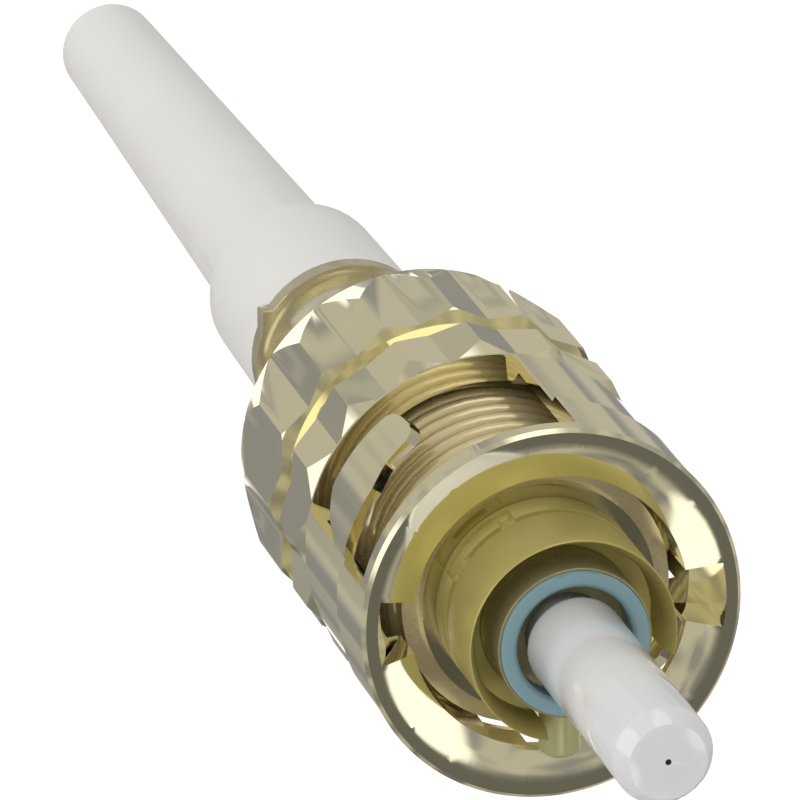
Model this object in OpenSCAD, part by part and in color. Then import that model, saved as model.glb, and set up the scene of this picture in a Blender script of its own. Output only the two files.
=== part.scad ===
// Fibre connector with a bayonet coupling nut. The axis runs along X, the tip
// points to +X and its flat end is at the origin. Lengths named "at" are
// distances behind the tip.

/* [Ferrule] */
// Ferrule diameter
ferrule_d = 2.5; // [1.25:0.05:4]
// Diameter of the flat at the tip
tip_flat_d = 1.93; // [0.6:0.01:3]
// Length of the tip chamfer
tip_chamfer = 0.463; // [0.1:0.001:1]
// Free length of the ferrule in front of the seat ring
ferrule_free = 7.763; // [5:0.001:12]
// Length of ferrule held inside the holder
ferrule_held = 5.2; // [3:0.1:8]
// Step down from the free part to the held part
held_step = 0.2; // [0.16:0.01:0.3]
// Fibre diameter
fibre_d = 0.125; // [0.08:0.005:0.4]

/* [Nose] */
// Wall of the seat ring
seat_wall = 0.42; // [0.2:0.01:0.8]
// Radial gap between ferrule and seat ring
seat_gap = 0.23; // [0.05:0.01:0.5]
// Length of the seat ring
seat_l = 0.8; // [0.4:0.05:1.2]
// Wall of the holder around the seat ring
holder_rim = 0.065; // [0.04:0.005:0.3]
// Ring-shaped gap between the holder and the sleeve's lip
lip_gap = 0.445; // [0.2:0.005:0.8]
// Wall of the sleeve's open lip
lip_wall = 0.24; // [0.15:0.01:0.5]
// Depth of the ring-shaped gap inside the lip
lip_depth = 1.5; // [1:0.05:2]
// Width of the sleeve opening beside the key, in degrees
sleeve_open = 91; // [60:1:120]
// Key pin diameter
key_d = 1.05; // [0.6:0.01:1.4]
// Distance of the key pin's centre behind the seat ring's face
key_off = 1.4; // [1.2:0.01:3]
// Height of the key pin above the guide sleeve
key_h = 0.85; // [0.4:0.01:1.2]

/* [Coupling nut] */
// Distance of the nut's front face behind the seat ring's face
nut_off = 2.05; // [1.5:0.01:5]
// Length of the nut
nut_l = 13.05; // [10:0.05:20]
// Clearance of the front collar's bore over the key pin
collar_gap = 0.08; // [0.05:0.01:0.3]
// Height of the front rim above the plain shell
rim_h = 0.17; // [0.05:0.01:0.5]
// Length of the front rim
rim_l = 2.1; // [1:0.05:4]
// Wall of the plain shell behind the rim
shell_wall = 0.28; // [0.2:0.01:0.8]
// Gap between the coils and the shell
cavity_gap = 0.78; // [0.5:0.01:1.5]
// Distance from the nut's front face to the grip
grip_off = 5.6; // [4:0.05:9]
// Length of the grip
grip_l = 6.6; // [4:0.1:10]
// Height of the grip's ridges above the plain shell
grip_h = 0.3; // [0.15:0.01:0.8]
// Depth of the valleys between the ridges
grip_depth = 0.27; // [0.05:0.01:0.5]
// Number of grip ridges in a row
grip_n = 17; // [12:1:30]
// Turn of the rear row of ridges about the axis, in degrees
grip_turn = -1.7; // [-10:0.1:10]
// Forward travel of the nut against its spring
nut_travel = 1.8; // [0.8:0.1:3]

/* [Spring] */
// Spring wire diameter
wire_d = 0.42; // [0.3:0.02:0.6]
// Gap between the guide sleeve and the coils
coil_gap = 0.57; // [0.3:0.01:0.8]
// Number of turns
coil_n = 13; // [8:1:16]

/* [Body] */
// Step from the ferrule holder out to the body behind the nut
body_step = 0.385; // [0.2:0.005:0.6]
// Distance of the locating flange behind the nut
flange_off = 6.2; // [3:0.05:12]
// Height of the locating flange above the body
flange_h = 0.22; // [0.1:0.01:0.5]
// Inset of the square plate's sides from the flange's edge
plate_inset = 0.165; // [0.05:0.005:0.3]
// Height of the square plate as a share of the flange's diameter
plate_share = 0.58; // [0.4:0.01:0.7]

/* [Boot] */
// Wall of the boot collar
boot_wall = 0.42; // [0.3:0.01:1]
// Length of the boot collar
boot_collar_l = 5.18; // [4:0.02:9]
// Length of the boot tail
boot_tail_l = 21.2; // [10:0.1:40]
// Wall of the tail at its end
tail_wall = 0.35; // [0.2:0.01:0.8]
// Growth of the tail's radius from its end to its root
tail_flare = 0.51; // [0.2:0.01:0.8]
// Diameter of the cord that the boot takes
cord_d = 2; // [1.6:0.1:2.2]

/* [View] */
// Piece to draw, or all

/* [Hidden] */
$fn = 96;
eps = 0.02;
glue = 0.01;
play = 0.05;
ferrule_r = ferrule_d/2;
held_r = ferrule_r - held_step;
seat_in_r = ferrule_r + seat_gap;
seat_r = seat_in_r + seat_wall;
holder_r = seat_r + holder_rim;
sleeve_r = holder_r + lip_gap + lip_wall;
key_r = key_d/2;
key_reach = sleeve_r + key_h;
wire_r = wire_d/2;
coil_r = sleeve_r + coil_gap + wire_r;
cavity_r = coil_r + wire_r + cavity_gap;
shell_r = cavity_r + shell_wall;
rim_r = shell_r + rim_h;
grip_r = shell_r + grip_h;
collar_bore_r = key_reach + collar_gap;
body_r = holder_r + body_step;
seat_at = ferrule_free;
holder_at = seat_at + 0.1;
sleeve_at = seat_at + 0.2;
collar_at = ferrule_free + ferrule_held;
collar_l = 1.6;
key_at = ferrule_free + key_off;
nut_at = ferrule_free + nut_off;
nut_end = nut_at + nut_l;
flange_at = nut_end + flange_off;
grip_at = nut_at + grip_off;
inner_r = cavity_r - 0.42;
flange_r = body_r + flange_h;
wall_at = nut_end - 1.96;
wall_end = nut_end - 0.82;
rw_l = 0.4;
rw_at = wall_at - rw_l;
sleeve_end = rw_at - nut_travel - 0.15;
clip_at = nut_at + 1.24;
clip_l = 0.3;
fw_at = clip_at + clip_l;
fw_l = 0.4;
spring_at = fw_at + fw_l;
spring_end = rw_at;
washer_r = coil_r + 0.02;
post_r = body_r - 0.45;
post_end = flange_at + 4.2;
flange_l = 0.5;
boot_at = flange_at + flange_l;
boot_step = boot_at + boot_collar_l;
boot_end = boot_step + boot_tail_l;
crimp_in_r = post_r + 0.02;
crimp_r = crimp_in_r + 0.17;
boot_in_r = crimp_r + 0.02;
boot_r = boot_in_r + boot_wall;
cord_bore_r = cord_d/2 + 0.05;
tail_end_r = cord_bore_r + tail_wall;
tail_root_r = tail_end_r + tail_flare;
core_r = holder_r - 0.465;
key_root = held_r + 0.2;
key_dome = 0.75;
lip_end = sleeve_at + lip_depth;
mark_at = sleeve_at + 2;
mark_d = 0.1;
open_a = -104;

// local +z runs back from the tip, local +x is up
module lay() rotate([0, -90, 0]) children();
module at(d) translate([0, 0, d]) children();
// turns local +x to the angle a about the axis, from +Y towards +Z
module turn(a) rotate([0, 0, 90 - a]) children();
module tube(ro, ri, d0, d1) at(d0) difference() {
  cylinder(r = ro, h = d1 - d0);
  at(-1) cylinder(r = ri, h = d1 - d0 + 2);
}
// solid of revolution from points [radius, distance behind the tip]
module spun(p) rotate_extrude() polygon(p);
// sector between the angles a0 and a1, radii r0 and r1, distances d0 and d1
module sector(a0, a1, r0, r1, d0, d1)
  rotate([0, 0, 90 - a1]) rotate_extrude(angle = a1 - a0) translate([r0, d0]) square([r1 - r0, d1 - d0]);
// round radial cutter
module drill(a, d, r, r0, r1) turn(a) at(d) translate([r0, 0, 0]) rotate([0, 90, 0]) cylinder(r = r, h = r1 - r0);

module ferrule() color([0.93, 0.93, 0.91]) lay() difference() {
  union() {
    cylinder(r1 = tip_flat_d/2, r2 = ferrule_r, h = tip_chamfer);
    at(tip_chamfer) cylinder(r = ferrule_r, h = ferrule_free - tip_chamfer);
    at(ferrule_free) cylinder(r = held_r, h = ferrule_held + collar_l - 0.3);
  }
  at(-1) cylinder(r = fibre_d/2 + glue, h = collar_at + collar_l + 2);
  at(collar_at + collar_l - 1.1) cylinder(r1 = fibre_d/2 + glue, r2 = 0.5, h = 1);
}

module fibre() color([0.2, 0.2, 0.2]) lay() cylinder(r = fibre_d/2, h = post_end - 0.4);

module ferrule_collar() color([0.72, 0.7, 0.64]) lay() tube(holder_r - 0.32, held_r + glue, collar_at, collar_at + collar_l);

module buffer_coat() color([0.85, 0.75, 0.35]) lay() tube(0.45, fibre_d/2 + glue, collar_at + collar_l, post_end - 1);

module seat_ring() color([0.49, 0.63, 0.67]) lay() spun([
  [seat_in_r + 0.1, seat_at], [seat_r - 0.04, seat_at], [seat_r, seat_at + 0.04],
  [seat_r, seat_at + seat_l], [seat_in_r, seat_at + seat_l], [seat_in_r, seat_at + 0.1]]);

module ferrule_holder() color([0.45, 0.43, 0.33]) lay() difference() {
  spun([
    [seat_r + glue, holder_at], [holder_r - 0.02, holder_at], [holder_r, holder_at + 0.02],
    [holder_r, collar_at + collar_l + 0.5], [holder_r - 0.3, collar_at + collar_l + 0.5],
    [holder_r - 0.3, collar_at - 0.02], [held_r + glue, collar_at - 0.02],
    [held_r + glue, seat_at + seat_l + 0.02], [seat_r + glue, seat_at + seat_l + 0.02]]);
  drill(-90, key_at, key_r + glue, key_root - glue, holder_r + 1);
}

module key_pin() color([0.63, 0.62, 0.42]) lay() turn(-90) at(key_at) rotate([0, 90, 0]) intersection() {
  at(key_root) cylinder(r = key_r, h = key_reach - key_root);
  union() {
    at(key_reach - key_dome) sphere(r = key_dome);
    cylinder(r = 2*key_r, h = key_reach - key_dome);
  }
}

module guide_sleeve() color([0.62, 0.6, 0.34]) lay() difference() {
  spun([
    [holder_r + glue, lip_end], [sleeve_r - lip_wall, lip_end], [sleeve_r - lip_wall, sleeve_at + 0.4],
    [sleeve_r - 0.03, sleeve_at], [sleeve_r, sleeve_at + 0.03], [sleeve_r, mark_at], [sleeve_r - mark_d, mark_at],
    [sleeve_r - mark_d, mark_at + 0.24], [sleeve_r, mark_at + 0.24], [sleeve_r, clip_at - 0.01], [sleeve_r - 0.14, clip_at - 0.01],
    [sleeve_r - 0.14, fw_at + 0.01], [sleeve_r, fw_at + 0.01], [sleeve_r, sleeve_end],
    [holder_r + glue, sleeve_end]]);
  sector(open_a, open_a + sleeve_open, holder_r, sleeve_r + 1, sleeve_at - 1, key_at + key_r + 0.3);
  // shallow notches behind the ring groove
  sector(109.4, 118.5, sleeve_r - mark_d, sleeve_r + 1, mark_at + 0.1, mark_at + 0.6);
  sector(109.4, 158, sleeve_r - mark_d, sleeve_r + 1, mark_at + 0.58, mark_at + 0.92);
  sector(142, 158, sleeve_r - mark_d, sleeve_r + 1, mark_at + 0.1, mark_at + 0.6);
}

module front_clip() color([0.7, 0.66, 0.45]) lay()
  sector(-60, 240, sleeve_r - 0.12, sleeve_r + 0.35, clip_at, clip_at + clip_l);

module front_washer() color([0.87, 0.74, 0.4]) lay() tube(washer_r, sleeve_r + 0.02, fw_at, fw_at + fw_l);

function lift(u, close, mid, span) = u < 1 ? close*u : (u > coil_n - 1 ? span - close*(coil_n - u) : close + mid*(u - 1));

// closed-end compression spring: pitch falls to the wire size in the end turns
module coil_spring() color([0.9, 0.78, 0.45]) lay() {
  k = 24;
  s = 8;
  n = coil_n*k;
  span = spring_end - spring_at - wire_d - 0.04;
  close = wire_d*1.02;
  mid = (span - 2*close)/(coil_n - 2);
  pts = [for (i = [0:n], j = [0:s - 1]) let(a = 360*i/k, b = 360*(j + 0.5)/s, r = coil_r - wire_r*0.02 + wire_r*cos(b)/cos(180/s)*0.96)
    [r*cos(a), r*sin(a), spring_at + wire_r + 0.02 + lift(i/k, close, mid, span) + wire_r*sin(b)*0.98]];
  polyhedron(points = pts, faces = concat(
    [[for (j = [0:s - 1]) j]], [[for (j = [s - 1:-1:0]) n*s + j]],
    [for (i = [0:n - 1], j = [0:s - 1]) [i*s + j, i*s + (j + 1) % s, (i + 1)*s + (j + 1) % s]],
    [for (i = [0:n - 1], j = [0:s - 1]) [i*s + j, (i + 1)*s + (j + 1) % s, (i + 1)*s + j]]));
}

module rear_washer() color([0.87, 0.74, 0.4]) lay() tube(washer_r + 0.2, body_r + play, rw_at, wall_at);

// windows and entry grooves of the bayonet, drawn once and used on both sides
module bayonet_cuts() {
  r_out = grip_r + 1;
  r_in = collar_bore_r - 0.1;
  front = nut_at + 0.6;
  // entry groove for a lug of the mating part
  sector(-10, 12, r_in, cavity_r + 0.05, nut_at - 1, nut_at + 1.6);
  // wide end of the running slot, with two round corners at its rear
  difference() {
    sector(92.5, 121, r_in, r_out, front, nut_at + 5.05);
    difference() {
      sector(92, 103, r_in - 1, r_out + 1, nut_at + 4.15, nut_at + 6);
      drill(103.5, nut_at + 4.1, 0.95, r_in - 1, r_out + 1);
    }
  }
  sector(121, 127, r_in, r_out, nut_at + 4.1, nut_at + 5.05);
  // narrow run r_in front of the tongue
  sector(120, 160, r_in, r_out, front, nut_at + 2.85);
  // round window behind the entry groove
  sector(-20, -4, r_in, r_out, nut_at + 3.9, nut_at + 5.3);
  drill(-19, nut_at + 4.6, 0.7, r_in, r_out);
  drill(-5, nut_at + 4.6, 0.7, r_in, r_out);
}

module grip_row(d0, d1, a) at(d0) linear_extrude(height = d1 - d0)
  polygon([for (i = [0:2*grip_n - 1]) let(r = i % 2 == 0 ? grip_r : grip_r - grip_depth, t = a + 180*i/grip_n) [r*cos(t), r*sin(t)]]);

module coupling_nut() color([0.66, 0.64, 0.5]) lay() difference() {
  union() {
    spun([
      [0, nut_at], [rim_r - 0.1, nut_at], [rim_r, nut_at + 0.1], [rim_r, nut_at + rim_l],
      [shell_r, nut_at + rim_l + 0.12], [shell_r, nut_end - 0.35], [shell_r - 0.35, nut_end], [0, nut_end]]);
    intersection() {
      union() {
        grip_row(grip_at, grip_at + grip_l*0.46, grip_turn + 180/grip_n);
        grip_row(grip_at + grip_l*0.46 - 0.001, grip_at + grip_l, grip_turn);
      }
      spun([[0, grip_at - 1], [shell_r - 0.05, grip_at - 0.05], [grip_r + 0.1, grip_at + 0.5], [grip_r + 0.1, grip_at + grip_l - 0.5],
        [shell_r - 0.05, grip_at + grip_l + 0.1], [0, grip_at + grip_l + 1]]);
    }
  }
  spun([
    [0, nut_at - 1], [cavity_r + 0.05, nut_at - 1], [cavity_r + 0.05, nut_at], [cavity_r - 0.5, nut_at + 0.24],
    [collar_bore_r, nut_at + 0.34], [collar_bore_r, nut_at + 1.5], [cavity_r, nut_at + 1.7],
    [cavity_r, grip_at - 0.2], [inner_r, grip_at + 0.2], [inner_r, wall_at],
    [body_r + play, wall_at], [body_r + play, wall_end], [body_r + 0.95, wall_end], [body_r + 1.05, nut_end + 1], [0, nut_end + 1]]);
  bayonet_cuts();
  rotate([0, 0, 180]) bayonet_cuts();
}

module stop_clip() color([0.7, 0.66, 0.45]) lay()
  sector(-50, 230, body_r - 0.18, body_r + 0.5, wall_end + 0.03, wall_end + 0.45);

module rear_body() color([0.45, 0.43, 0.33]) lay() difference() {
  spun([
    [core_r, collar_at + collar_l + 0.55], [holder_r, collar_at + collar_l + 0.55], [holder_r, sleeve_end + 0.01],
    [body_r, sleeve_end + 0.01], [body_r, wall_end + 0.02], [body_r - 0.2, wall_end + 0.02],
    [body_r - 0.2, wall_end + 0.46], [body_r, wall_end + 0.46], [body_r, flange_at - 0.2],
    [body_r - 0.2, flange_at], [post_r, flange_at], [post_r, post_end], [core_r, post_end]]);
  for (i = [1:4]) at(flange_at + 0.7*i + 0.6) difference() {
    cylinder(r = post_r + 1, h = 0.3);
    at(-1) cylinder(r = post_r - 0.12, h = 3);
  }
}

module locating_ring() color([0.45, 0.43, 0.33]) lay() difference() {
  union() {
    at(flange_at) cylinder(r = flange_r, h = flange_l - 0.01);
    at(flange_at) translate([-plate_share*flange_r, plate_inset - flange_r, 0])
      cube([2*plate_share*flange_r, 2*(flange_r - plate_inset), flange_l - 0.01]);
  }
  at(flange_at - 1) cylinder(r = post_r + 0.01, h = 3);
}

module inner_tube() color([0.92, 0.92, 0.88]) lay() tube(core_r - glue, 0.6, collar_at + collar_l + 0.7, post_end);

module crimp_sleeve() color([0.7, 0.7, 0.66]) lay() tube(crimp_r, crimp_in_r, boot_at + 0.15, boot_step - 0.65);

module boot() color([0.93, 0.92, 0.9]) lay() spun([
  [boot_in_r, boot_at], [boot_r, boot_at], [boot_r - 0.08, boot_step - 0.25], [boot_r - 0.15, boot_step - 0.1],
  [boot_r - 0.3, boot_step], [tail_root_r, boot_step + 0.02], [tail_end_r, boot_end - 0.06],
  [tail_end_r - 0.06, boot_end], [cord_bore_r, boot_end], [cord_bore_r, boot_step - 0.5], [boot_in_r, boot_step - 0.6]]);

ferrule();
fibre();
ferrule_collar();
buffer_coat();
seat_ring();
ferrule_holder();
key_pin();
guide_sleeve();
front_clip();
front_washer();
coil_spring();
rear_washer();
coupling_nut();
stop_clip();
rear_body();
locating_ring();
inner_tube();
crimp_sleeve();
boot();
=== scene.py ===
import bpy
import bmesh
import math
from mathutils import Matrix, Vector


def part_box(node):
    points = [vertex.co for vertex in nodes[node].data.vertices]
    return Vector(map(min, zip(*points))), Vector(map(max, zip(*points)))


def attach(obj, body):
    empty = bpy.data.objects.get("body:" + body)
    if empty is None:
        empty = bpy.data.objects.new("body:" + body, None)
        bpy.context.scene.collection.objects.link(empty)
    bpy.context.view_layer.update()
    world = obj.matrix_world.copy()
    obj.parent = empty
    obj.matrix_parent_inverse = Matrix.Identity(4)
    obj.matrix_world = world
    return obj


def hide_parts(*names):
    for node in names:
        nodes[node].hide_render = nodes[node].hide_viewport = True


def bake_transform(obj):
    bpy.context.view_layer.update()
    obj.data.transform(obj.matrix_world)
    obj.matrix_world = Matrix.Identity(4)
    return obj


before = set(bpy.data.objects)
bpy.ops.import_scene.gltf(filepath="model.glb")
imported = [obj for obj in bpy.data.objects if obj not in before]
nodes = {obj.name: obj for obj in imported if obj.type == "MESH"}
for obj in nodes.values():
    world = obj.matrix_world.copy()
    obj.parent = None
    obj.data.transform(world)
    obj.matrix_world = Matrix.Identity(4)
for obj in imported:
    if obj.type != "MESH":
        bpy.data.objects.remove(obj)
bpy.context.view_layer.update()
mm = 0.001
scene = bpy.context.scene
scene.view_settings.view_transform = "Standard"

# places, radii and lengths are in millimetres, except where they are read from the model's parts
view = {
    "place": (199.02, -61.27, 86.45),
    "aim": (-4.379, -5.402, 8.127),
    "lens": 427.5,
    "sensor": 36.0,
}


def setCamera():
    data = bpy.data.cameras.new("viewCamera")
    data.lens = view["lens"]
    data.sensor_width = view["sensor"]
    data.clip_start = 0.01
    data.clip_end = 10
    cam = bpy.data.objects.new("viewCamera", data)
    scene.collection.objects.link(cam)
    cam.location = Vector(view["place"]) * mm
    look = (Vector(view["aim"]) - Vector(view["place"])).normalized()
    cam.rotation_euler = look.to_track_quat("-Z", "Y").to_euler()
    scene.camera = cam
    return look


lookDir = setCamera()
print("camera set")

# colours that each kind of ray meets; panels are (direction, inner angle, outer angle)
studio = {
    "backdrop": (1.0, 1.0, 1.0),
    "fillRight": (0.62, 0.62, 0.61),
    "fillLeft": (1.12, 1.10, 1.08),
    "below": (0.16, 0.155, 0.14),
    "side": (0.27, 0.265, 0.27),
    "above": (0.42, 0.40, 0.36),
    "lens": (0.134, 0.13, 0.12),
    "patch": (0.75, 0.70, 0.56),
    "panel": (1.25, 1.22, 1.15),
    "ahead": (0.904, 0.248, -0.348),
    "panels": ((lookDir, 6, 9), ((-1, 0, 0), 14, 16.5), ((0.05, -0.95, 0.3), 20, 26),
               ((0.81, 0.56, -0.16), 9, 12), ((0.15, 0.1, 1.0), 14, 20), ((0.868, -0.11, -0.479), 9, 12)),
}


def rgba(c):
    return (c[0], c[1], c[2], 1.0)


def ramp(nt, stops):
    node = nt.nodes.new("ShaderNodeValToRGB")
    points = node.color_ramp.elements
    while len(points) > 1:
        points.remove(points[-1])
    points[0].position = stops[0][0]
    points[0].color = rgba(stops[0][1])
    for place, color in stops[1:]:
        p = points.new(place)
        p.color = rgba(color)
    return node


def mathNode(nt, kind, a, b=None):
    node = nt.nodes.new("ShaderNodeMath")
    node.operation = kind
    for i, v in enumerate((a, b)):
        if v is None:
            continue
        if isinstance(v, (int, float)):
            node.inputs[i].default_value = v
        else:
            nt.links.new(v, node.inputs[i])
    return node.outputs[0]


def mixColor(nt, factor, a, b):
    node = nt.nodes.new("ShaderNodeMix")
    node.data_type = "RGBA"
    if isinstance(factor, (int, float)):
        node.inputs[0].default_value = factor
    else:
        nt.links.new(factor, node.inputs[0])
    for i, v in ((6, a), (7, b)):
        if isinstance(v, tuple):
            node.inputs[i].default_value = rgba(v)
        else:
            nt.links.new(v, node.inputs[i])
    return node.outputs[2]


def panelMask(nt, direction, toward, inner, outer):
    # 1 within the inner angle of a direction, 0 beyond the outer one
    dot = nt.nodes.new("ShaderNodeVectorMath")
    dot.operation = "DOT_PRODUCT"
    nt.links.new(direction, dot.inputs[0])
    dot.inputs[1].default_value = Vector(toward).normalized()
    low = math.cos(math.radians(outer))
    high = math.cos(math.radians(inner))
    span = nt.nodes.new("ShaderNodeMapRange")
    span.interpolation_type = "SMOOTHSTEP"
    span.inputs["From Min"].default_value = low
    span.inputs["From Max"].default_value = high
    nt.links.new(dot.outputs["Value"], span.inputs["Value"])
    return span.outputs[0]


def buildStudio():
    world = bpy.data.worlds.new("studio")
    scene.world = world
    world.use_nodes = True
    nt = world.node_tree
    nt.nodes.clear()
    coord = nt.nodes.new("ShaderNodeTexCoord")
    direction = coord.outputs["Generated"]
    split = nt.nodes.new("ShaderNodeSeparateXYZ")
    nt.links.new(direction, split.inputs[0])
    height = mathNode(nt, "MULTIPLY_ADD", split.outputs["Z"], 0.5)
    height.node.inputs[2].default_value = 0.5
    across = mathNode(nt, "MULTIPLY_ADD", split.outputs["Y"], 0.5)
    across.node.inputs[2].default_value = 0.5
    # what polished metal sees: uneven grey walls, a dark place ahead of the front faces and white panels
    walls = ramp(nt, [(0.0, studio["below"]), (0.35, studio["side"]),
                      (0.6, studio["side"]), (1.0, studio["above"])])
    nt.links.new(height, walls.inputs[0])
    cloud = nt.nodes.new("ShaderNodeTexNoise")
    cloud.inputs["Scale"].default_value = 7.0
    cloud.inputs["Detail"].default_value = 1.0
    nt.links.new(direction, cloud.inputs["Vector"])
    patchy = nt.nodes.new("ShaderNodeMapRange")
    for key, value in (("From Min", 0.4), ("From Max", 0.6), ("To Min", 0.0), ("To Max", 0.45)):
        patchy.inputs[key].default_value = value
    nt.links.new(cloud.outputs["Fac"], patchy.inputs["Value"])
    uneven = mixColor(nt, patchy.outputs[0], walls.outputs[0], studio["patch"])
    shiny = mixColor(nt, panelMask(nt, direction, studio["ahead"], 10, 18), uneven, studio["lens"])
    for toward, inner, outer in studio["panels"]:
        shiny = mixColor(nt, panelMask(nt, direction, toward, inner, outer), shiny, studio["panel"])
    middle = tuple(0.5 * (a + b) for a, b in zip(studio["fillLeft"], studio["fillRight"]))
    soft = ramp(nt, [(0.0, studio["fillLeft"]), (0.5, middle), (1.0, studio["fillRight"])])
    nt.links.new(across, soft.inputs[0])
    rays = nt.nodes.new("ShaderNodeLightPath")
    plain = mathNode(nt, "MAXIMUM", rays.outputs["Is Camera Ray"], rays.outputs["Is Transmission Ray"])
    lit = mixColor(nt, rays.outputs["Is Glossy Ray"], soft.outputs[0], shiny)
    seen = mixColor(nt, plain, lit, studio["backdrop"])
    back = nt.nodes.new("ShaderNodeBackground")
    nt.links.new(seen, back.inputs["Color"])
    out = nt.nodes.new("ShaderNodeOutputWorld")
    nt.links.new(back.outputs[0], out.inputs["Surface"])


buildStudio()
print("studio built")

floor = {"radius": 300.0, "height": -30.0, "thick": 2.0, "color": (0.9, 0.9, 0.9), "lift": 0.3}


def buildFloor():
    mesh = bpy.data.meshes.new("floor")
    work = bmesh.new()
    bmesh.ops.create_cone(work, cap_ends=True, segments=96, radius1=floor["radius"] * mm,
                          radius2=floor["radius"] * mm, depth=floor["thick"] * mm)
    for v in work.verts:
        v.co.z += (floor["height"] - floor["thick"] / 2) * mm
    work.to_mesh(mesh)
    work.free()
    mat = bpy.data.materials.new("paleFloor")
    mat.use_nodes = True
    nt = mat.node_tree
    nt.nodes.clear()
    matt = nt.nodes.new("ShaderNodeBsdfDiffuse")
    matt.inputs["Color"].default_value = rgba(floor["color"])
    glow = nt.nodes.new("ShaderNodeEmission")
    glow.inputs["Strength"].default_value = floor["lift"]
    clear = nt.nodes.new("ShaderNodeBsdfTransparent")
    rays = nt.nodes.new("ShaderNodeLightPath")
    pale = nt.nodes.new("ShaderNodeAddShader")
    nt.links.new(matt.outputs[0], pale.inputs[0])
    nt.links.new(glow.outputs[0], pale.inputs[1])
    lit = nt.nodes.new("ShaderNodeMixShader")
    nt.links.new(rays.outputs["Is Camera Ray"], lit.inputs[0])
    nt.links.new(matt.outputs[0], lit.inputs[1])
    nt.links.new(pale.outputs[0], lit.inputs[2])
    last = nt.nodes.new("ShaderNodeMixShader")
    nt.links.new(rays.outputs["Is Glossy Ray"], last.inputs[0])
    nt.links.new(lit.outputs[0], last.inputs[1])
    nt.links.new(clear.outputs[0], last.inputs[2])
    out = nt.nodes.new("ShaderNodeOutputMaterial")
    nt.links.new(last.outputs[0], out.inputs["Surface"])
    mesh.materials.append(mat)
    obj = bpy.data.objects.new("floor", mesh)
    scene.collection.objects.link(obj)


buildFloor()
print("floor laid")


def newFinish(name, color, metallic, rough, ior=1.5):
    mat = bpy.data.materials.new(name)
    mat.use_nodes = True
    nt = mat.node_tree
    shader = nt.nodes["Principled BSDF"]
    shader.inputs["Base Color"].default_value = rgba(color)
    shader.inputs["Metallic"].default_value = metallic
    shader.inputs["Roughness"].default_value = rough
    shader.inputs["IOR"].default_value = ior
    return mat, nt, shader


def objectNoise(nt, scale, detail, stretch=(1, 1, 1)):
    coord = nt.nodes.new("ShaderNodeTexCoord")
    place = nt.nodes.new("ShaderNodeMapping")
    place.inputs["Scale"].default_value = stretch
    nt.links.new(coord.outputs["Object"], place.inputs["Vector"])
    noise = nt.nodes.new("ShaderNodeTexNoise")
    noise.inputs["Scale"].default_value = scale
    noise.inputs["Detail"].default_value = detail
    nt.links.new(place.outputs[0], noise.inputs["Vector"])
    return noise.outputs["Fac"]


def spread(nt, value, low, high, start=0.3, end=0.7):
    node = nt.nodes.new("ShaderNodeMapRange")
    node.inputs["From Min"].default_value = start
    node.inputs["From Max"].default_value = end
    node.inputs["To Min"].default_value = low
    node.inputs["To Max"].default_value = high
    nt.links.new(value, node.inputs["Value"])
    return node.outputs[0]


def addBump(nt, shader, value, distance, strength):
    bump = nt.nodes.new("ShaderNodeBump")
    bump.inputs["Distance"].default_value = distance
    bump.inputs["Strength"].default_value = strength
    nt.links.new(value, bump.inputs["Height"])
    nt.links.new(bump.outputs[0], shader.inputs["Normal"])


def platedMetal(name, color, rough, mottle=0.06, turning=0.0, metallic=1.0):
    # plated metal: cloudy tone, uneven polish, faint lathe rings along the axis
    mat, nt, shader = newFinish(name, color, metallic, rough)
    cloud = objectNoise(nt, 380, 3)
    dim = tuple(c * (1 - mottle) for c in color)
    nt.links.new(mixColor(nt, cloud, color, dim), shader.inputs["Base Color"])
    wear = objectNoise(nt, 900, 5)
    nt.links.new(spread(nt, wear, rough * 0.7, rough * 1.4), shader.inputs["Roughness"])
    if turning:
        rings = objectNoise(nt, 2600, 2, (1, 0.02, 0.02))
        addBump(nt, shader, rings, 0.000004, turning)
    return mat


def ceramicWhite(name):
    mat, nt, shader = newFinish(name, (0.80, 0.80, 0.80), 0.0, 0.08, 2.0)
    grain = objectNoise(nt, 700, 3)
    nt.links.new(mixColor(nt, grain, (0.82, 0.82, 0.82), (0.78, 0.78, 0.785)), shader.inputs["Base Color"])
    return mat


def mouldedPlastic(name, color, rough, grainScale=1400, depth=0.000003):
    mat, nt, shader = newFinish(name, color, 0.0, rough)
    cloud = objectNoise(nt, 260, 3)
    nt.links.new(mixColor(nt, cloud, color, tuple(c * 0.95 for c in color)), shader.inputs["Base Color"])
    grain = objectNoise(nt, grainScale, 4)
    nt.links.new(spread(nt, grain, rough * 0.85, min(1.0, rough * 1.15)), shader.inputs["Roughness"])
    addBump(nt, shader, grain, depth, 0.25)
    return mat


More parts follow.
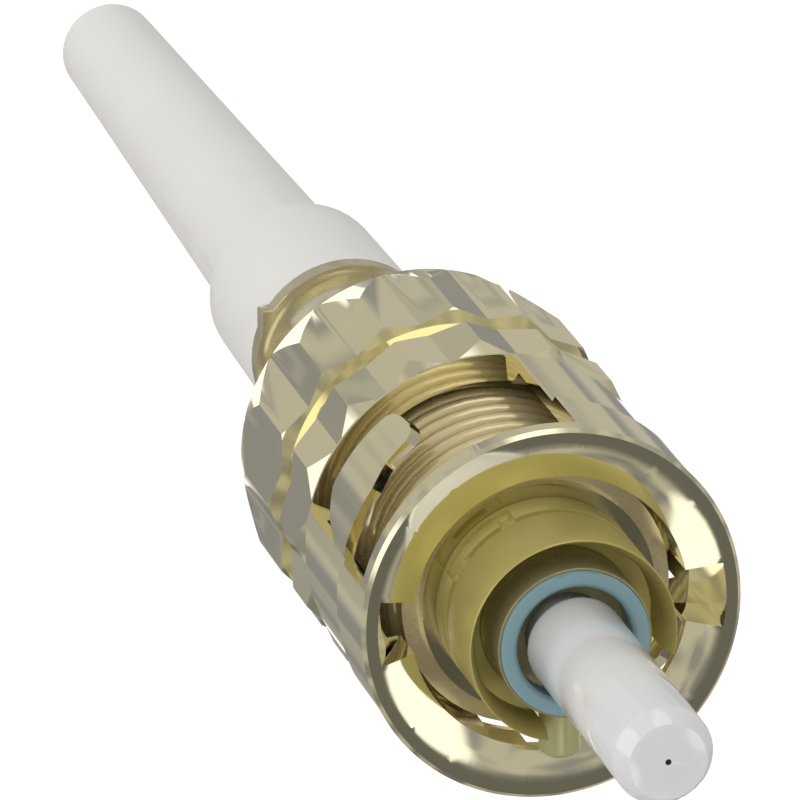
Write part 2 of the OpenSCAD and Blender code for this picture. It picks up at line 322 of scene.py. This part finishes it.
finishes = {
    "ferrule": ceramicWhite("whiteCeramic"),
    "fibre": mouldedPlastic("fibreGlass", (0.02, 0.02, 0.02), 0.15),
    "ferrule_collar": platedMetal("paleNickel", (0.62, 0.6, 0.52), 0.2),
    "buffer_coat": mouldedPlastic("bufferYellow", (0.62, 0.47, 0.1), 0.4),
    "seat_ring": mouldedPlastic("seatBlue", (0.22, 0.36, 0.40), 0.5),
    "ferrule_holder": platedMetal("oliveNickel", (0.42, 0.37, 0.2), 0.34, metallic=0.6),
    "key_pin": platedMetal("keyOlive", (0.55, 0.54, 0.28), 0.38, metallic=0.5),
    "guide_sleeve": platedMetal("sleeveOlive", (0.62, 0.55, 0.19), 0.36, metallic=0.55),
    "front_clip": platedMetal("clipSteel", (0.6, 0.55, 0.35), 0.15),
    "front_washer": platedMetal("giltWasher", (0.88, 0.76, 0.46), 0.25, metallic=0.6),
    "rear_washer": platedMetal("giltRearWasher", (0.85, 0.68, 0.34), 0.12),
    "coupling_nut": platedMetal("nutNickel", (0.97, 0.93, 0.70), 0.06, 0.04, 0.05),
    "stop_clip": platedMetal("stopSteel", (0.6, 0.55, 0.35), 0.15),
    "rear_body": platedMetal("bodyNickel", (0.82, 0.77, 0.58), 0.2, 0.06, 0.1),
    "locating_ring": platedMetal("ringNickel", (0.8, 0.75, 0.56), 0.2),
    "inner_tube": mouldedPlastic("tubeWhite", (0.8, 0.8, 0.76), 0.4),
    "crimp_sleeve": platedMetal("crimpAluminium", (0.7, 0.7, 0.66), 0.3),
    "boot": mouldedPlastic("bootWhite", (0.83, 0.82, 0.8), 0.45),
    "coil_spring": platedMetal("giltWire", (0.88, 0.76, 0.46), 0.22, metallic=0.55),
}


def finishNodes():
    for name, mat in finishes.items():
        mesh = nodes[name].data
        mesh.materials.clear()
        mesh.materials.append(mat)


finishNodes()
print("finishes made")

# pieces that keep the CAD shape, with merged points and rounded edges
edgeWork = {
    "ferrule": {"body": "plug", "edge": 0.02, "steps": 2},
    "ferrule_collar": {"body": "plug", "edge": 0.02, "steps": 1},
    "seat_ring": {"body": "plug", "edge": 0.03, "steps": 2},
    "ferrule_holder": {"body": "plug", "edge": 0.02, "steps": 2},
    "guide_sleeve": {"body": "plug", "edge": 0.05, "steps": 3},
    "key_pin": {"body": "plug", "edge": 0.04, "steps": 3},
    "rear_body": {"body": "plug", "edge": 0.03, "steps": 2},
    "locating_ring": {"body": "plug", "edge": 0.04, "steps": 2},
    "boot": {"body": "plug", "edge": 0.06, "steps": 3},
}


def roundedCopy(name, settings):
    # the CAD piece with its duplicate points merged and its sharp edges rounded
    mesh = nodes[name].data.copy()
    work = bmesh.new()
    work.from_mesh(mesh)
    bmesh.ops.remove_doubles(work, verts=work.verts, dist=0.002 * mm)
    bmesh.ops.dissolve_limit(work, angle_limit=math.radians(0.4), verts=work.verts, edges=work.edges)
    work.to_mesh(mesh)
    work.free()
    piece = bpy.data.objects.new(name + "Worked", mesh)
    scene.collection.objects.link(piece)
    bevel = piece.modifiers.new("edges", "BEVEL")
    bevel.width = settings["edge"] * mm
    bevel.segments = settings["steps"]
    bevel.limit_method = "ANGLE"
    bevel.angle_limit = math.radians(28)
    bevel.use_clamp_overlap = True
    bevel.harden_normals = False
    evaluated = piece.evaluated_get(bpy.context.evaluated_depsgraph_get())
    final = bpy.data.meshes.new_from_object(evaluated)
    piece.modifiers.clear()
    piece.data = final
    final.materials.clear()
    final.materials.append(finishes[name])
    final.shade_smooth()
    final.set_sharp_from_angle(angle=math.radians(26))
    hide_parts(name)
    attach(piece, settings["body"])
    return piece


for name, settings in edgeWork.items():
    roundedCopy(name, settings)
print("plated pieces worked")

# the coupling nut: a turned barrel with two rows of ridges, and a window with a tongue on each side;
# distances run back from its front face, angles from +Y towards +Z
nut = {
    "ridges": 16, "peak": 4.88, "valley": 4.58, "ridgeAt": 112.3,
    "gripStart": 6.15, "gripFull": 6.7, "groove": (8.0, 8.62, 9.13), "rearRow": 11.4,
    "rim": 4.87, "rimEnd": 2.4, "shell": 4.70, "grooveRadius": 4.26, "rearRadius": 4.6,
    "bore": ((-1, 4.47), (0, 4.47), (0.13, 3.92), (0.24, 3.56), (1.5, 3.56), (1.7, 4.42), (5.4, 4.42),
             (5.8, 4.0), (11.09, 4.0), (11.09, 2.385), (12.23, 2.385), (12.23, 3.285), (14.05, 3.385)),
    "window": (81.5, 168.0, 0.5, 6.0), "entry": (-10, 12, -1, 1.6),
    "tongue": ((172, 2.8), (145, 2.8), (137, 3.08), (128, 3.18), (125, 3.4), (123.9, 3.8), (124.3, 4.4),
               (125.4, 4.85), (128, 5.04), (155, 5.04), (163, 4.5), (168.5, 3.6), (172, 3.6)),
    "tongueMiddle": 146.0, "tongueReach": (2.9, 5.6), "cutReach": (3.3, 5.4), "entryReach": (3.3, 4.47),
    "edge": 0.035, "edgeAngle": 24, "sharpAngle": 22, "turnSteps": 180, "sectorStep": 2.5,
}


def solidObject(name, work):
    bmesh.ops.recalc_face_normals(work, faces=work.faces)
    mesh = bpy.data.meshes.new(name)
    work.to_mesh(mesh)
    work.free()
    obj = bpy.data.objects.new(name, mesh)
    scene.collection.objects.link(obj)
    return obj


def turned(name, outline, front, steps):
    # closed solid of revolution about the axis; the outline starts and ends on it
    work = bmesh.new()
    rings = []
    for back, radius in outline:
        x = -(front + back) * mm
        if radius == 0:
            rings.append([work.verts.new((x, 0, 0))])
            continue
        radius *= mm
        angles = [2 * math.pi * i / steps for i in range(steps)]
        rings.append([work.verts.new((x, radius * math.cos(a), radius * math.sin(a))) for a in angles])
    for one, two in zip(rings, rings[1:]):
        for i in range(steps):
            k = (i + 1) % steps
            corners = [one[i % len(one)], one[k % len(one)], two[k % len(two)], two[i % len(two)]]
            work.faces.new(list(dict.fromkeys(corners)))
    return solidObject(name, work)


def sectorBlock(name, sector, radii, front):
    # a block between two angles, two radii and two distances
    start, end, near, far = sector
    steps = max(2, math.ceil((end - start) / nut["sectorStep"]))
    work = bmesh.new()
    rows = []
    for i in range(steps + 1):
        a = math.radians(start + (end - start) * i / steps)
        rows.append([work.verts.new((-(front + d) * mm, r * mm * math.cos(a), r * mm * math.sin(a)))
                     for r, d in ((radii[0], near), (radii[1], near), (radii[1], far), (radii[0], far))])
    for one, two in zip(rows, rows[1:]):
        for k in range(4):
            work.faces.new((one[k], one[(k + 1) % 4], two[(k + 1) % 4], two[k]))
    work.faces.new(rows[0])
    work.faces.new(rows[-1])
    return solidObject(name, work)


def tongueBlock(name, front):
    # flat outline seen from straight above the tongue, pushed through the wall
    middle = math.radians(nut["tongueMiddle"])
    out = Vector((0, math.cos(middle), math.sin(middle)))
    side = Vector((0, -math.sin(middle), math.cos(middle)))
    work = bmesh.new()
    layers = []
    for depth in nut["tongueReach"]:
        layers.append([])
        for angle, back in nut["tongue"]:
            across = nut["shell"] * math.sin(math.radians(angle) - middle)
            place = Vector((-(front + back), 0, 0)) + side * across + out * depth
            layers[-1].append(work.verts.new(place * mm))
    count = len(nut["tongue"])
    for i in range(count):
        k = (i + 1) % count
        work.faces.new((layers[0][i], layers[0][k], layers[1][k], layers[1][i]))
    work.faces.new(layers[0])
    work.faces.new(layers[1])
    return solidObject(name, work)


def newTree(name, settings):
    # a node tree with named inputs; settings are key: (input name, kind, default)
    tree = bpy.data.node_groups.new(name, "GeometryNodeTree")
    tree.interface.new_socket(name="Geometry", in_out="INPUT", socket_type="NodeSocketGeometry")
    sockets = {}
    for key, (label, kind, value) in settings.items():
        sockets[key] = tree.interface.new_socket(
            name=label, in_out="INPUT", socket_type="NodeSocket" + kind)
        sockets[key].default_value = value
    tree.interface.new_socket(name="Geometry", in_out="OUTPUT", socket_type="NodeSocketGeometry")
    return tree, sockets


def layAlong(tree, shape, shift, mat):
    # turns a shape built up its own Z to run along X, makes it real and gives it its material
    make = tree.nodes.new
    link = tree.links.new
    along = make("ShaderNodeCombineXYZ")
    link(shift, along.inputs["X"])
    lay = make("GeometryNodeTransform")
    lay.inputs["Rotation"].default_value = (0, -math.pi / 2, 0)
    link(shape, lay.inputs["Geometry"])
    link(along.outputs[0], lay.inputs["Translation"])
    real = make("GeometryNodeRealizeInstances")
    link(lay.outputs[0], real.inputs[0])
    paint = make("GeometryNodeSetMaterial")
    paint.inputs["Material"].default_value = mat
    link(real.outputs[0], paint.inputs["Geometry"])
    leave = make("NodeGroupOutput")
    link(paint.outputs[0], leave.inputs["Geometry"])


def grown(name, tree, sockets, values):
    # an object whose mesh is what the tree makes from these values
    obj = bpy.data.objects.new(name, bpy.data.meshes.new(name))
    scene.collection.objects.link(obj)
    mod = obj.modifiers.new(name, "NODES")
    mod.node_group = tree
    for key, value in values.items():
        mod[sockets[key].identifier] = value
    return plainMesh(obj)


def plainMesh(obj):
    evaluated = obj.evaluated_get(bpy.context.evaluated_depsgraph_get())
    mesh = bpy.data.meshes.new_from_object(evaluated)
    obj.modifiers.clear()
    obj.data = mesh
    return obj


def ridgeTree(mat):
    # a bar along the axis whose every other corner is drawn in to the valley
    tree, sockets = newTree("gripRidges", {
        "ridges": ("Ridges", "Int", 16),
        "peak": ("Peak radius", "Float", 4.88 * mm),
        "share": ("Valley share", "Float", 0.94),
        "length": ("Length", "Float", 7 * mm),
        "middle": ("Middle", "Float", -19 * mm),
        "turn": ("Turn", "Float", 0.0),
    })
    make = tree.nodes.new
    link = tree.links.new
    entry = make("NodeGroupInput")
    corners = mathNode(tree, "MULTIPLY", entry.outputs["Ridges"], 2)
    bar = make("GeometryNodeMeshCylinder")
    link(corners, bar.inputs["Vertices"])
    link(entry.outputs["Peak radius"], bar.inputs["Radius"])
    link(entry.outputs["Length"], bar.inputs["Depth"])
    odd = mathNode(tree, "MODULO", make("GeometryNodeInputIndex").outputs[0], 2)
    scale = make("ShaderNodeMapRange")
    link(odd, scale.inputs["Value"])
    scale.inputs["To Min"].default_value = 1.0
    link(entry.outputs["Valley share"], scale.inputs["To Max"])
    pull = make("ShaderNodeCombineXYZ")
    link(scale.outputs[0], pull.inputs["X"])
    link(scale.outputs[0], pull.inputs["Y"])
    pull.inputs["Z"].default_value = 1.0
    place = make("ShaderNodeVectorMath")
    place.operation = "MULTIPLY"
    link(make("GeometryNodeInputPosition").outputs[0], place.inputs[0])
    link(pull.outputs[0], place.inputs[1])
    shape = make("GeometryNodeSetPosition")
    link(bar.outputs["Mesh"], shape.inputs["Geometry"])
    link(place.outputs[0], shape.inputs["Position"])
    twist = make("ShaderNodeCombineXYZ")
    link(entry.outputs["Turn"], twist.inputs["Z"])
    spin = make("GeometryNodeTransform")
    link(shape.outputs[0], spin.inputs["Geometry"])
    link(twist.outputs[0], spin.inputs["Rotation"])
    layAlong(tree, spin.outputs[0], entry.outputs["Middle"], mat)
    return tree, sockets


def ridgeBar(front, full):
    # longer than the grip at both ends, since the grip outline cuts it to length
    start, end = nut["gripStart"] - 0.5, full + 0.5
    tree, sockets = ridgeTree(finishes["coupling_nut"])
    return grown("ridgeBar", tree, sockets, {
        "ridges": nut["ridges"],
        "peak": nut["peak"] * mm,
        "share": nut["valley"] / nut["peak"],
        "length": (end - start) * mm,
        "middle": -(front + (start + end) / 2) * mm,
        "turn": math.radians(90 - nut["ridgeAt"]),
    })


def carve(obj, other, kind):
    mod = obj.modifiers.new(kind, "BOOLEAN")
    mod.operation = kind
    mod.solver = "EXACT"
    mod.object = other
    plainMesh(obj)
    bpy.data.objects.remove(other)
    return obj


def halfTurn(obj):
    # a second cutter on the opposite side, with its turn worked into the mesh
    other = obj.copy()
    other.data = obj.data.copy()
    for v in other.data.vertices:
        v.co.y, v.co.z = -v.co.y, -v.co.z
    scene.collection.objects.link(other)
    return other


def buildNut():
    low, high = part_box("coupling_nut")
    front = -high.x / mm
    full = (high.x - low.x) / mm
    start = nut["gripStart"]
    clear = nut["peak"] + 0.02
    grooveStart, grooveFloor, grooveEnd = nut["groove"]
    grip = turned("gripOutline", (
        (start - 0.3, 0), (start - 0.3, 4.4), (start, nut["valley"]), (nut["gripFull"], clear),
        (grooveStart, clear), (grooveFloor, nut["grooveRadius"]), (grooveEnd, nut["grooveRadius"]),
        (grooveEnd, nut["peak"] - 0.06), (grooveEnd + 0.08, clear), (nut["rearRow"], nut["peak"]),
        (full - 0.12, nut["rearRadius"]), (full, nut["rearRadius"] - 0.12), (full, 0)),
        front, nut["turnSteps"])
    carve(grip, ridgeBar(front, full), "INTERSECT")
    shell = turned("couplingNut", (
        (0, 0), (0, nut["rim"] - 0.1), (0.1, nut["rim"]), (nut["rimEnd"], nut["rim"]),
        (nut["rimEnd"] + 0.12, nut["shell"]), (start - 0.05, nut["shell"]), (start - 0.05, 0)),
        front, nut["turnSteps"])
    carve(shell, grip, "UNION")
    closed = ((nut["bore"][0][0], 0),) + nut["bore"] + ((nut["bore"][-1][0], 0),)
    carve(shell, turned("bore", closed, front, nut["turnSteps"]), "DIFFERENCE")
    opening = sectorBlock("opening", nut["window"], nut["cutReach"], front)
    carve(opening, tongueBlock("tongue", front), "DIFFERENCE")
    lug = sectorBlock("lug", nut["entry"], nut["entryReach"], front)
    for cutter in (opening, lug):
        carve(shell, halfTurn(cutter), "DIFFERENCE")
        carve(shell, cutter, "DIFFERENCE")
    bevel = shell.modifiers.new("edges", "BEVEL")
    bevel.width = nut["edge"] * mm
    bevel.segments = 2
    bevel.limit_method = "ANGLE"
    bevel.angle_limit = math.radians(nut["edgeAngle"])
    plainMesh(shell)
    shell.data.materials.clear()
    shell.data.materials.append(finishes["coupling_nut"])
    shell.data.shade_smooth()
    shell.data.set_sharp_from_angle(angle=math.radians(nut["sharpAngle"]))
    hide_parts("coupling_nut")
    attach(shell, "nut")
    return shell


buildNut()
print("nut built")

# an even coil of round wire between the two washers, its cut ends capped
spring = {"turns": 13.0, "wire": 0.42, "stepsPerTurn": 40, "wireSides": 14}


def springTree(mat):
    tree, sockets = newTree("coilSpring", {
        "turns": ("Turns", "Float", 13.0),
        "radius": ("Mean radius", "Float", 3.4 * mm),
        "wire": ("Wire radius", "Float", 0.21 * mm),
        "length": ("Length", "Float", 9 * mm),
        "start": ("Start", "Float", -11 * mm),
    })
    make = tree.nodes.new
    link = tree.links.new
    entry = make("NodeGroupInput")
    spiral = make("GeometryNodeCurveSpiral")
    spiral.inputs["Resolution"].default_value = spring["stepsPerTurn"]
    link(entry.outputs["Turns"], spiral.inputs["Rotations"])
    link(entry.outputs["Mean radius"], spiral.inputs["Start Radius"])
    link(entry.outputs["Mean radius"], spiral.inputs["End Radius"])
    link(entry.outputs["Length"], spiral.inputs["Height"])
    circle = make("GeometryNodeCurvePrimitiveCircle")
    circle.inputs["Resolution"].default_value = spring["wireSides"]
    link(entry.outputs["Wire radius"], circle.inputs["Radius"])
    sweep = make("GeometryNodeCurveToMesh")
    sweep.inputs["Fill Caps"].default_value = True
    link(spiral.outputs[0], sweep.inputs["Curve"])
    link(circle.outputs[0], sweep.inputs["Profile Curve"])
    smooth = make("GeometryNodeSetShadeSmooth")
    link(sweep.outputs[0], smooth.inputs["Geometry"])
    layAlong(tree, smooth.outputs[0], entry.outputs["Start"], mat)
    return tree, sockets


def buildSpring():
    low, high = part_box("coil_spring")
    wire = spring["wire"] * mm / 2
    tree, sockets = springTree(finishes["coil_spring"])
    obj = grown("springCoil", tree, sockets, {
        "turns": spring["turns"],
        "radius": high.z - wire,
        "wire": wire,
        "length": (high.x - low.x) - 2 * wire,
        "start": high.x - wire,
    })
    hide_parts("coil_spring")
    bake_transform(obj)
    return obj


buildSpring()
print("spring wound")
